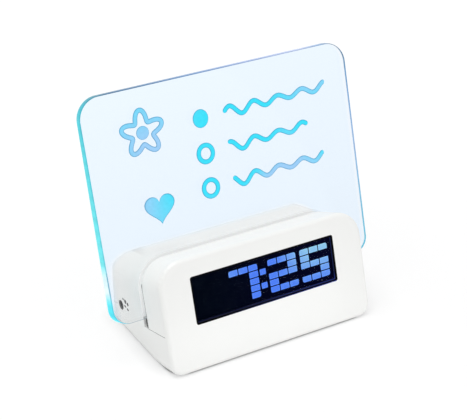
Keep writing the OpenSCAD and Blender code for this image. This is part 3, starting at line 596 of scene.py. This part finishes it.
class CLOCK_OT_board(bpy.types.Operator):
    """Build the clear writing board with its glowing edge"""

    bl_idname = "memo_clock.board"
    bl_label = "Writing board"

    UPPER_CORNER, LOWER_CORNER = 12 * MM, 9 * MM
    CORNER_POINTS = 20
    # How far the left edge slants outward at most, and the share of the height above the middle where it ends
    SLANT, SLANT_END = 1.4 * MM, 0.55
    # Share that a face mirrors when seen squarely, and the roughness of that mirror
    MIRROR, GLOSS = 0.012, 0.04

    # The clearer zone in front of the rear housing: a rectangle with round corners, across and up, that falls
    # to the right with the square of the way past a start
    CLEAR_MIDDLE, CLEAR_HALF, CLEAR_CORNER = (-8.9 * MM, 18.8 * MM), (68.6 * MM, 38.9 * MM), 12 * MM
    CLEAR_FALL_START, CLEAR_FALL = 34 * MM, 34.0
    CLEAR_RIM, CLEAR_SHARE, CLEAR_TINT = (-2.5 * MM, 0.6 * MM), 0.88, (0.985, 0.985, 0.985)

    # Display colours of the edge by their place round the outline
    EDGE = (
        # Lower edge, from its middle to the right
        (0.0, (150, 156, 162)), (0.128, (140, 150, 160)),
        # Right side with its lower corner
        (0.138, (62, 182, 206)), (0.18, (74, 174, 204)), (0.25, (130, 162, 206)), (0.3, (112, 154, 202)),
        # Upper right corner
        (0.335, (62, 125, 172)), (0.345, (34, 92, 132)), (0.366, (30, 85, 125)),
        # Top, from right to left
        (0.38, (120, 150, 190)), (0.4, (165, 175, 210)), (0.46, (140, 156, 200)), (0.52, (90, 125, 175)),
        # Upper left corner
        (0.615, (35, 85, 125)), (0.628, (30, 125, 145)), (0.642, (48, 182, 198)), (0.655, (58, 196, 207)),
        # Left side, with a glare near its foot
        (0.7, (78, 212, 220)), (0.765, (98, 224, 230)), (0.796, (108, 228, 234)), (0.81, (222, 248, 251)),
        (0.824, (230, 250, 252)), (0.834, (92, 232, 244)), (0.86, (42, 220, 238)),
        # Lower edge, from the left back to its middle
        (0.868, (140, 150, 160)), (1.0, (150, 156, 162)))
    # Stretches of the outline where the glow starts and ends, where the top starts, where the front line of
    # the left side starts and ends, and where the glare does
    GLOW_START, GLOW_END, TOP_START = (0.128, 0.138), (0.858, 0.867), (0.364, 0.38)
    LINE_START, LINE_END = (0.64, 0.66), (0.856, 0.866)
    GLARE_START, GLARE_END = (0.796, 0.81), (0.824, 0.836)
    # The front line's colour and depth, its strength above the glare and in it, and what is left of that
    # below the glare
    LINE_COLOUR, LINE_DEPTH, LINE_SHARE, LINE_LEFT = (75, 150, 182), (0.08, 0.2), (0.35, 0.85), 0.4
    # Share of the thickness that glows on the lower edge and on the right side, where in it the glow fades,
    # and how solid the edge is before and behind that
    FOOT_GLOW, SIDE_GLOW, FADE, SOLID = 0.12, 0.55, (0.65, 1.0), (0.92, 0.06)

    def face_finish(self):
        """Clear sheet that is a little blue, less so in the middle of its foot, where the housing stands
        close behind it."""
        f = Finish("board_clear")
        x, _, up = f.face_place()
        past = f.math("MAXIMUM", f.math("SUBTRACT", x, self.CLEAR_FALL_START), 0.0)
        raised = f.math("ADD", up, f.times(f.math("POWER", past, 2.0), self.CLEAR_FALL))
        away = f.outside((x, raised), self.CLEAR_MIDDLE, self.CLEAR_HALF, self.CLEAR_CORNER)
        near = f.spread(away, *self.CLEAR_RIM, self.CLEAR_SHARE, 0.0, smooth=True)
        tint = f.blend(near, settings().board_tint, self.CLEAR_TINT)
        return f.glazing(tint, self.MIRROR, self.GLOSS)

    def edge_finish(self):
        """Polished edge that light leaves by. Its colour runs round the board from the middle of the lower
        edge: the right side, the top from right to left, the left side, where it is brightest, and the dull
        lower edge. A darker line runs down the front of the left side. The lower edge glows along its front
        arris only, and the right side over the front half of its thickness."""
        f = Finish("board_edge")
        around, through = f.attribute("around"), f.attribute("through")
        colour = f.ramp(around, [(place, display_colour(*c)) for place, c in self.EDGE])
        left = f.stretch(around, self.LINE_START, self.LINE_END)
        bare = f.times(f.spread(around, *self.GLARE_START, *self.LINE_SHARE),
                       f.spread(around, *self.GLARE_END, 1.0, self.LINE_LEFT))
        line = f.times(f.spread(through, *self.LINE_DEPTH, 1.0, 0.0, smooth=True), left, bare)
        colour = f.blend(line, colour, display_colour(*self.LINE_COLOUR))
        streak = f.spread(f.noise(260.0), 0.35, 0.65, 0.9, 1.05)
        opaque = f.stretch(around, self.TOP_START, self.GLOW_END)
        deep = f.math("MINIMUM", f.spread(around, *self.GLOW_START, self.FOOT_GLOW, self.SIDE_GLOW),
                      f.spread(around, *self.GLOW_END, self.SIDE_GLOW, self.FOOT_GLOW))
        front = f.spread(f.math("DIVIDE", through, deep), *self.FADE, *self.SOLID, smooth=True)
        alpha = f.math("MAXIMUM", front, opaque)
        return f.glowing((0.02, 0.06, 0.08), 0.25, 0.2, colour, streak, Alpha=alpha)

    def execute(self, context):
        low, high = reach("message_board")
        width, thickness, height = high - low
        middle = (low[2] + high[2]) / 2
        corners = (self.LOWER_CORNER, self.UPPER_CORNER, self.UPPER_CORNER, self.LOWER_CORNER)
        insets, depths = arris_profile(low[1], high[1], settings().board_arris)

        def place(x, depth, up):
            """The left edge slants outward to the back, with the fourth power of the way to the left, and
            most of all at its foot."""
            through = (depth - low[1]) / thickness
            slant = through * np.clip(-2 * x / width, 0, 1) ** 4 * np.clip(self.SLANT_END - up / height, 0, 1)
            return leaning(x - self.SLANT * slant, depth, up + middle)

        sheet = rounded_plate(width, height, corners, insets, depths, place, self.CORNER_POINTS)
        board = make_piece("writing_board", [sheet], [self.edge_finish(), self.face_finish()],
                           "message_board", cap_finish=1)
        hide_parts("message_board")
        return {"FINISHED"}


class CLOCK_OT_drawing(bpy.types.Operator):
    """Draw glowing marker strokes on the board: a flower, a heart and a list of wavy lines"""

    bl_idname = "memo_clock.drawing"
    bl_label = "Marker drawing"

    STROKE_RISE = 0.25 * MM
    # Places and sizes on the board in mm, across from its middle and up from its foot
    FLOWER, PETALS, FLOWER_R, EYE_R = (-47, 98), 5, 12, 3.6
    HEART, HEART_SCALE = (-44, 57), 0.55
    # Height and length of each line, their start and rise, and the height and length of their waves
    LINES = ((98, 64), (79, 50), (60, 58))
    LINE_X, LINE_RISE, WAVE, WAVE_LENGTH = 1, 1.5, 2.9, 15
    # Half sizes of the filled dot before the first line and of the rings before the others
    DOT_X, DOT, RING = -13, (4.6, 5), (4.2, 4.5)

    def finish(self):
        """Glowing marker: cyan that drifts to pale blue along the strokes, with a darker dried rim."""
        f = Finish("marker_glow")
        drift = f.spread(f.noise(16.0, 1.0), 0.42, 0.58, smooth=True)
        ink = f.blend(drift, settings().marker_cyan, settings().marker_pale)
        streak = f.between(f.noise(700.0, 3.0), 0.9, 0.98)
        rim = f.spread(f.attribute("across"), 0.5, 0.95, 0.0, 0.8, smooth=True)
        colour = f.blend(rim, ink, settings().marker_rim)
        return f.glowing((0.01, 0.04, 0.05), 0.4, 0.2, colour, streak)

    def execute(self, context):
        low, _ = reach("message_board")
        turn = np.linspace(0, 2 * np.pi, 120, endpoint=False)
        share = np.linspace(0, 1, 160)

        def on_board(middle, x, up):
            """Points on the board's front that are given in mm from a middle."""
            return leaning((middle[0] + x) * MM, low[1], low[2] + (middle[1] + up) * MM)

        def draw(middle, x, up, closed=True):
            """Stroke along a path."""
            return bead(on_board(middle, x, up), -BACK, settings().stroke_width, self.STROKE_RISE, closed)

        def fill(middle, x, up):
            """Patch of ink inside an outline."""
            return blob(on_board(middle, x, up), -BACK, self.STROKE_RISE)

        # The flower's radius swings with a cosine once for each petal. The heart goes across with the cube of
        # the sine of the turn, and up with the cosines of one to four times the turn.
        petal = self.FLOWER_R * (0.76 + 0.24 * np.cos(self.PETALS * turn))
        heart_x = 16 * np.sin(turn) ** 3
        heart_up = 13 * np.cos(turn) - 5 * np.cos(2 * turn) - 2 * np.cos(3 * turn) - np.cos(4 * turn)
        parts = [draw(self.FLOWER, petal * np.sin(turn), petal * np.cos(turn)),
                 fill(self.FLOWER, self.EYE_R * np.sin(turn), self.EYE_R * np.cos(turn)),
                 fill(self.HEART, self.HEART_SCALE * heart_x, self.HEART_SCALE * heart_up)]
        for row, (up, length) in enumerate(self.LINES):
            # A sine runs along the line, and its height shrinks and grows with a slow cosine
            swing = np.sin(2 * np.pi * length / self.WAVE_LENGTH * share + row)
            wave = self.WAVE * swing * (0.75 + 0.25 * np.cos(5 * share))
            parts.append(draw((self.LINE_X, up), length * share, self.LINE_RISE * share + wave, closed=False))
            mark, (wide, tall) = (fill, self.DOT) if row == 0 else (draw, self.RING)
            parts.append(mark((self.DOT_X, up), wide * np.cos(turn), tall * np.sin(turn)))
        make_piece("marker_drawing", parts, [self.finish()], "message_board")
        return {"FINISHED"}


class CLOCK_OT_display(bpy.types.Operator):
    """Build the display: clear lens, dark lining and the lit blocks of the time"""

    bl_idname = "memo_clock.display"
    bl_label = "Display"

    # How far the window's edge lies inside the display panel's
    MARGIN = 1.5 * MM
    LENS_DEPTH, LENS_ARRIS, LENS_CORNER, LENS_ROOM = 1.2 * MM, 0.2 * MM, 1 * MM, 0.2 * MM
    LINING_WALL, LINING_ROOM = 0.4 * MM, 0.05 * MM
    # How far the printed border reaches past the window on the left, on the right, below and above
    BORDER, BORDER_CORNER = (0.8 * MM, 0.2 * MM, 0.45 * MM, 0.3 * MM), 1.3 * MM
    # Its profile in mm: insets from its outline, and depths behind the cover's front, without the last loop,
    # which lies on the lens
    BORDER_INSETS, BORDER_DEPTHS = (0.0, 0.05, 1.0, 1.0), (0.02, -0.05, -0.05)
    # Width of the painted blue light along an edge
    EDGE_LIGHT = 0.7 * MM

    # Start of each digit from the window's left edge in mm, and its blocks row by row
    DIGITS = ((23.0, "xxx..x..x..x..x"), (46.9, "xxx..xxxxx..xxx"), (67.1, "xxxx..xxx..xxxx"))
    COLUMNS, ROWS = 3, 5
    PITCH = (6.05 * MM, 3.85 * MM)
    FIRST_ROW = 4.0 * MM
    COLON_X, COLON_WIDTH, COLON_ROWS = 41.95 * MM, 3.6 * MM, (1, 3)
    BLOCK_CORNER, OUTER_CORNER, CORNER_POINTS = 0.3 * MM, 1.1 * MM, 6
    # Profile of a block in mm: insets from its outline, and depths behind the panel's front
    BLOCK_INSETS, BLOCK_DEPTHS = (0.75, 0.05, 0.0, 0.0), (-0.1, -0.1, -0.05, 0.05)
    HATCH = 0.55 * MM

    def panel_finish(self, low, high):
        """Unlit display: near black, with a trace of blue light that grows to the right."""
        f = Finish("panel_dark")
        right = f.spread(f.face_place()[0], low[0], high[0], smooth=True)
        colour = f.blend(right, display_colour(0, 3, 13), display_colour(3, 4, 30))
        return f.glowing((0.0004, 0.0005, 0.001), 0.6, 0.0, colour, 1.0)

    def block_finish(self, low, high):
        """Lit blocks: blue on the left that pales to the upper right, a little dimmer inside their rims,
        where a fine hatch shows."""
        f = Finish("lit_block")
        x, _, up = f.face_place()
        width, _, height = high - low
        right = f.spread(x, low[0] + 0.55 * width, low[0] + 0.86 * width, smooth=True)
        first = f.spread(x, low[0] + 0.25 * width, low[0] + 0.4 * width, 0.3, 0.0)
        upper = f.spread(up, low[2] + 0.15 * height, low[2] + 0.8 * height, 0.12, 1.0)
        mottle = f.between(f.noise(500.0), -0.06, 0.06)
        share = f.math("ADD", f.times(f.math("MAXIMUM", right, first), upper), mottle)
        colour = f.blend(share, settings().digit_deep, settings().digit_pale)
        hatch = f.math("SINE", f.times(up, 2 * math.pi / self.HATCH))
        rim = f.attribute("rim")
        inside = f.spread(rim, 0.0, 0.6, 1.0, 0.0)
        dim = f.math("SUBTRACT", f.spread(rim, 0.0, 1.0, 0.94, 1.08), f.times(hatch, inside, 0.05))
        return f.glowing((0.004, 0.008, 0.03), 0.5, 0.05, colour, dim)

    def caught_light(self, f, base, gloss, pale, strength):
        """Black with painted light: a blue glow of a given strength that stands in for the display's light on it.
        """
        colour = f.blend(f.noise(150.0), display_colour(44, 60, 170), display_colour(*pale))
        return f.glowing(base, 0.5, gloss, colour, strength)

    def lining_finish(self, front, low, high):
        """Lining of the window: black, but its front edge along the lower right has painted blue light."""
        f = Finish("lining_blue")
        x, back, up = f.face_place()
        edge = f.spread(back, front, front + self.EDGE_LIGHT, 1.0, 0.0, smooth=True)
        right = f.spread(x, (low[0] + high[0]) / 2 - 20 * MM, high[0], 0.1, 0.5)
        foot = f.spread(up, low[2] + 2 * MM, low[2] + 6 * MM, 1.0, 0.3)
        return self.caught_light(f, (0.002, 0.002, 0.005), 0.05, (80, 110, 225), f.times(edge, right, foot))

    def border_finish(self, foot, right):
        """Printed border of the window: black, with painted blue light along its lower right edge."""
        f = Finish("border_black")
        x, _, up = f.face_place()
        edge = f.times(f.spread(up, foot, foot + self.EDGE_LIGHT, 1.0, 0.0, smooth=True),
                       f.spread(x, right - 75 * MM, right, 0.0, 0.8))
        return self.caught_light(f, (0.001, 0.001, 0.002), 0.02, (80, 100, 215), edge)

    def border(self, left, right, foot, top, cover, lens):
        """Flat ring round the window: a loop on the cover, two raised ones, and one inside the opening on the
        lens."""
        west, east, south, north = self.BORDER
        left, right, foot, top = left - west, right + east, foot - south, top + north
        insets = np.array(self.BORDER_INSETS) * MM
        depths = np.append(cover + np.array(self.BORDER_DEPTHS) * MM, lens)
        return rounded_ring(right - left, top - foot, [self.BORDER_CORNER] * 4, insets, depths,
                            leaning_at((left + right) / 2, (foot + top) / 2))

    def blocks(self, left, top, depth):
        """One plate for every lit place of the digits and the colon. A block at an outer corner of its digit
        has that corner rounded."""
        gap = settings().block_gap
        wide, tall = self.PITCH
        last_row, last_col = self.ROWS - 1, self.COLUMNS - 1
        corners = ((last_row, last_col), (0, last_col), (0, 0), (last_row, 0))
        insets = np.array(self.BLOCK_INSETS) * MM
        depths = depth + np.array(self.BLOCK_DEPTHS) * MM

        def plate(x, row, width, radii):
            """Block of a row with its middle at x."""
            up = top - self.FIRST_ROW - (row + 0.5) * tall
            return rounded_plate(width, tall - gap, radii, insets, depths, leaning_at(x, up),
                                 self.CORNER_POINTS)

        parts = []
        for start, cells in self.DIGITS:
            for row, col in (divmod(i, self.COLUMNS) for i, cell in enumerate(cells) if cell == "x"):
                radii = [self.OUTER_CORNER if (row, col) == c else self.BLOCK_CORNER for c in corners]
                parts.append(plate(left + start * MM + (col + 0.5) * wide, row, wide - gap, radii))
        colon = left + self.COLON_X + self.COLON_WIDTH / 2
        for row in self.COLON_ROWS:
            parts.append(plate(colon, row, self.COLON_WIDTH, [self.BLOCK_CORNER] * 4))
        return parts

    def execute(self, context):
        front = reach("display_window")[0][1]
        cover = reach("front_cover")[0][1]
        low, high = reach("display_panel")
        (left, _, foot), (right, _, top) = low + self.MARGIN, high - self.MARGIN
        size = (right - left - self.LENS_ROOM, top - foot - self.LENS_ROOM, [self.LENS_CORNER] * 4)
        place = leaning_at(0.0, (foot + top) / 2)

        lens_back = front + self.LENS_DEPTH
        sheet = rounded_plate(*size, *arris_profile(front, lens_back, self.LENS_ARRIS), place)
        edge = plain_finish("lens_edge", (0.001, 0.001, 0.002), 0.5, 0.6)
        clear = Finish("lens_clear").glazing((0.97, 0.975, 0.985), 0.0008, 0.06)
        lens = make_piece("display_lens", [sheet], [edge, clear], "housing", cap_finish=1)
        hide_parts("display_window")

        wall = np.array((0, 0, self.LINING_WALL, self.LINING_WALL))
        depth = np.array((lens_back + self.LINING_ROOM, low[1] - self.LINING_ROOM))[[0, 1, 1, 0]]
        make_piece("display_lining", [rounded_ring(*size, wall, depth, place)],
                   [self.lining_finish(lens_back, low, high)], "housing")
        make_piece("window_border", [self.border(left, right, foot, top, cover, front)],
                   [self.border_finish(foot - self.BORDER[2], right)], "housing")
        dress("display_panel", self.panel_finish(low, high))
        make_piece("digit_blocks", self.blocks(left, top, low[1]), [self.block_finish(low, high)], "housing")
        return {"FINISHED"}


class CLOCK_OT_jack(bpy.types.Operator):
    """Build the metal contacts of the power jack and the printed signs beside it"""

    bl_idname = "memo_clock.jack"
    bl_label = "Power jack"

    # Radii between which the black socket ends and its white rim starts
    RIM = (2.7 * MM, 2.9 * MM)
    # Radius and depth of each contact's profile in mm
    PIN = ((1.0, 9.2), (1.0, 1.9), (0.9, 1.5), (0.6, 1.3), (0.3, 1.25))
    SLEEVE = ((2.74, 9.3), (2.74, 1.3), (2.65, 1.2), (2.55, 1.3), (2.55, 9.3))
    # Strokes of the sign in mm: start ahead of the jack's middle and above it, and run ahead and up
    STROKES = ((2.2, 5.4, 1.6, 0), (7.4, 5.0, 2.4, 0), (8.6, 3.8, 0, 2.4), (4.2, 2.0, 2.2, 0),
               (7.4, 1.6, 2.2, 0))
    # Its dot: place ahead and above, and half sizes
    DOT = (5.6, 5.2, 1.2, 1.3)
    INK_WIDTH, INK_RISE = 1.2 * MM, 0.03 * MM

    def socket_finish(self, middle):
        """Black socket whose rim, flush with the side, is white like the housing."""
        f = Finish("jack_socket")
        moved = f.add("ShaderNodeMapping", {
            "Vector": f.object_place(), "Location": (0, -middle[1], -middle[2])}).outputs[0]
        _, y, z = f.add("ShaderNodeSeparateXYZ", {"Vector": moved}).outputs
        rim = f.spread(f.length(y, z), *self.RIM)
        return f.principled(
            Base_Color=f.blend(rim, (0.012, 0.012, 0.013), settings().shell_white),
            Roughness=f.between(f.noise(300.0), 0.35, 0.5), Normal=f.bump(f.noise(900.0), 0.1, 0.03 * MM))

    def execute(self, context):
        low, high = (np.array(c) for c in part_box("power_jack"))
        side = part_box("rear_housing")[0][0]
        middle = (low + high) / 2
        outward = (-1, 0, 0)
        turn = np.linspace(0, 2 * np.pi, 40, endpoint=False)
        along = np.linspace(0, 1, 24)

        def tube(profile):
            """Circles about the jack's axis, one for each radius and depth of a profile."""
            radius, depth = np.array(profile).T[..., None] * MM
            return np.stack(np.broadcast_arrays(
                side + depth, middle[1] + radius * np.cos(turn), middle[2] + radius * np.sin(turn)), -1)

        def on_side(ahead, up):
            """Points on the left side that are given in mm ahead of the jack's middle and above it."""
            return np.stack(np.broadcast_arrays(side, middle[1] - ahead * MM, middle[2] + up * MM), -1)

        steel = plain_finish("pin_steel", (0.13, 0.132, 0.136), 0.3, 0.45, metallic=1.0)
        contacts = [loft(tube(self.PIN)), loft(tube(self.SLEEVE), ring=True)]
        make_piece("jack_contacts", contacts, [steel], "housing")
        dress("power_jack", self.socket_finish(middle))

        sign = [bead(on_side(x + run * along, up + rise * along), outward, self.INK_WIDTH, self.INK_RISE)
                for x, up, run, rise in self.STROKES]
        x, up, wide, tall = self.DOT
        sign.append(blob(on_side(x + wide * np.cos(turn), up + tall * np.sin(turn)), outward, self.INK_RISE))
        ink = plain_finish("print_ink", (0.015, 0.015, 0.018), 0.5, 0.6)
        make_piece("polarity_sign", sign, [ink], "housing")
        return {"FINISHED"}


# Stage

def look_along(obj, place, along):
    """Put a lamp or a camera at a place and turn it to look along a direction."""
    obj.location = place
    obj.rotation_euler = along.to_track_quat("-Z", "Y").to_euler()


def area_light(name, place, target, power, size, height=None):
    """Lamp that faces a target: a disc, or a rectangle if it has a height too."""
    lamp = bpy.data.lights.new(name, "AREA")
    lamp.energy = power
    lamp.shape = "RECTANGLE" if height else "DISK"
    lamp.size = size
    lamp.size_y = height or size
    look_along(new_object(name, lamp), place, Vector(target) - Vector(place))


class CLOCK_OT_stage(bpy.types.Operator):
    """Set up the pale floor, the soft light and the camera"""

    bl_idname = "memo_clock.stage"
    bl_label = "Stage"

    # The camera: what it looks at, from where, its focal length, and how far the picture's middle is off
    AIM = (0.0, -0.00841, 0.056)
    AZIMUTH, ELEVATION, DISTANCE = math.radians(30.287), math.radians(30.118), 0.7453
    FOCAL_PX, WIDTH_PX, OFFSET_PX = 1387.15, 467, (14.49, 23.22)
    SENSOR_MM = 36

    # Name, place, target, power and size of each lamp
    LAMPS = (("key", (-0.32, 0.08, 1.85), (0, 0, 0.05), 15.9, 1.4),
             ("card", (0.08, -0.42, 0.03), (0, 0, 0.0), 0.24, 0.4),
             ("strip", (0, -0.10, 0.012), (0, -0.04, 0.02), 0.0082, 0.16, 0.02))
    SKY = 0.7

    FLOOR_HALF, FLOOR_POINTS = 3, 25
    # Lift of the floor to white beside the foot and far from it, and the distances where it changes
    FLOOR_LIFT, FLOOR_FAR = (0.45, 0.56), (0.05, 0.5)
    # Rounding of the foot's outline, and the distances from it where the dark contact ends. Inside them the
    # white lift is left out, so the contact is real shadow made deeper by this painted shade
    FOOT_CORNER, CONTACT = 12 * MM, (-2.1 * MM, -0.3 * MM)
    # How far the painted shade lies to the left and to the back of the foot, and what it leaves of the lift
    SHADE, SHADE_TONE = 6 * MM, 0.78

    def seen_directly(self, f):
        """1 for what the camera, a mirror or a clear sheet shows, and 0 for light on other surfaces."""
        path = f.add("ShaderNodeLightPath").outputs
        return f.math("MAXIMUM", f.math("MAXIMUM", path["Is Camera Ray"], path["Is Glossy Ray"]),
                      path["Is Transmission Ray"])

    def floor_finish(self):
        """Pale matt floor. Where it is seen directly it is lifted to white, but not under the object's foot,
        so that the contact's real shadow stays dark, deepened by that painted shade, and less in a band to the
        left of and behind the foot, which is painted shadow."""
        f = Finish("floor_pale")
        seen = self.seen_directly(f)
        pale = f.blend(f.noise(3.0), (0.85, 0.85, 0.85), (0.87, 0.87, 0.87))
        matt = f.add("ShaderNodeBsdfDiffuse", {"Color": f.blend(seen, pale, (0.5, 0.5, 0.5))}).outputs[0]
        (x0, _, _), (x1, y1, _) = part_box("base_shell")
        y0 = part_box("front_cover")[0][1]
        middle, half = ((x0 + x1) / 2, (y0 + y1) / 2), ((x1 - x0) / 2, (y1 - y0) / 2)
        place = f.add("ShaderNodeSeparateXYZ", {"Vector": f.object_place()}).outputs
        away = f.outside(place, middle, half, self.FOOT_CORNER)
        clear = f.spread(away, *self.CONTACT, smooth=True)
        level = f.spread(away, *self.FLOOR_FAR, *self.FLOOR_LIFT)
        # Painted shadow: less lift in a band to the left of and behind the foot
        aside = f.outside(place, (middle[0] - self.SHADE, middle[1] + self.SHADE), half, self.FOOT_CORNER)
        shade = f.spread(aside, -self.SHADE, self.SHADE / 2, self.SHADE_TONE, 1.0)
        lift = f.add("ShaderNodeEmission", {
            "Color": (1, 1, 1, 1), "Strength": f.times(seen, clear, level, shade)}).outputs[0]
        return f.out(f.add("ShaderNodeAddShader", {0: matt, 1: lift}).outputs[0])

    def floor(self):
        """Square grid of quads at the height of the feet."""
        share = np.linspace(-self.FLOOR_HALF, self.FLOOR_HALF, self.FLOOR_POINTS)
        x, y = np.meshgrid(share, share)
        n = len(share)
        start = (np.arange(n - 1)[:, None] * n + np.arange(n - 1)[None]).ravel()
        mesh = bpy.data.meshes.new("floor")
        mesh.from_pydata(np.stack([x, y, 0 * x], -1).reshape(-1, 3).tolist(), [],
                         np.stack([start, start + 1, start + n + 1, start + n], 1).tolist())
        mesh.materials.append(self.floor_finish())
        floor = new_object("floor", mesh)

    def surroundings(self):
        """White surroundings, dimmer as light on the object than where they are seen directly."""
        world = bpy.data.worlds.new("studio")
        bpy.context.scene.world = world
        f = Finish(world=world)
        strength = f.spread(self.seen_directly(f), 0.0, 1.0, self.SKY, 1.0)
        back = f.add("ShaderNodeBackground", {"Color": (1, 1, 1, 1), "Strength": strength}).outputs[0]
        f.add("ShaderNodeOutputWorld", {"Surface": back})

    def camera(self):
        """Camera at a distance from what it looks at, to the left of the front by the azimuth and above it by
        the elevation. Its shift moves the picture's middle."""
        along = Vector((math.sin(self.AZIMUTH) * math.cos(self.ELEVATION),
                        math.cos(self.AZIMUTH) * math.cos(self.ELEVATION), -math.sin(self.ELEVATION)))
        lens = bpy.data.cameras.new("camera")
        lens.sensor_width = self.SENSOR_MM
        lens.lens = self.FOCAL_PX / self.WIDTH_PX * self.SENSOR_MM
        lens.shift_x = -self.OFFSET_PX[0] / self.WIDTH_PX
        lens.shift_y = self.OFFSET_PX[1] / self.WIDTH_PX
        camera = new_object("camera", lens)
        look_along(camera, Vector(self.AIM) - along * self.DISTANCE, along)
        bpy.context.scene.camera = camera

    def execute(self, context):
        context.scene.view_settings.view_transform = "Standard"
        self.camera()
        self.floor()
        self.surroundings()
        for lamp in self.LAMPS:
            area_light(*lamp)
        return {"FINISHED"}


class CLOCK_PT_panel(bpy.types.Panel):
    """Lists the clock's pieces and settings"""

    bl_idname = "CLOCK_PT_panel"
    bl_label = "Memo Board Clock"
    bl_space_type = "VIEW_3D"
    bl_region_type = "UI"
    bl_category = "Clock"

    def draw(self, context):
        for name in ClockSettings.__annotations__:
            self.layout.prop(context.scene.memo_clock, name)
        for operator in OPERATORS:
            self.layout.operator(operator.bl_idname)


OPERATORS = (CLOCK_OT_stage, CLOCK_OT_shells, CLOCK_OT_seams, CLOCK_OT_fittings, CLOCK_OT_board,
             CLOCK_OT_drawing, CLOCK_OT_display, CLOCK_OT_jack)
CLASSES = (ClockSettings, *OPERATORS, CLOCK_PT_panel)


def register():
    for cls in CLASSES:
        bpy.utils.register_class(cls)
    bpy.types.Scene.memo_clock = PointerProperty(type=ClockSettings)


def unregister():
    del bpy.types.Scene.memo_clock
    for cls in reversed(CLASSES):
        bpy.utils.unregister_class(cls)


def main():
    register()
    bpy.ops.memo_clock.stage()
    bpy.ops.memo_clock.shells()
    bpy.ops.memo_clock.seams()
    bpy.ops.memo_clock.fittings()
    bpy.ops.memo_clock.board()
    bpy.ops.memo_clock.drawing()
    bpy.ops.memo_clock.display()
    bpy.ops.memo_clock.jack()


if __name__ == "__main__":
    main()
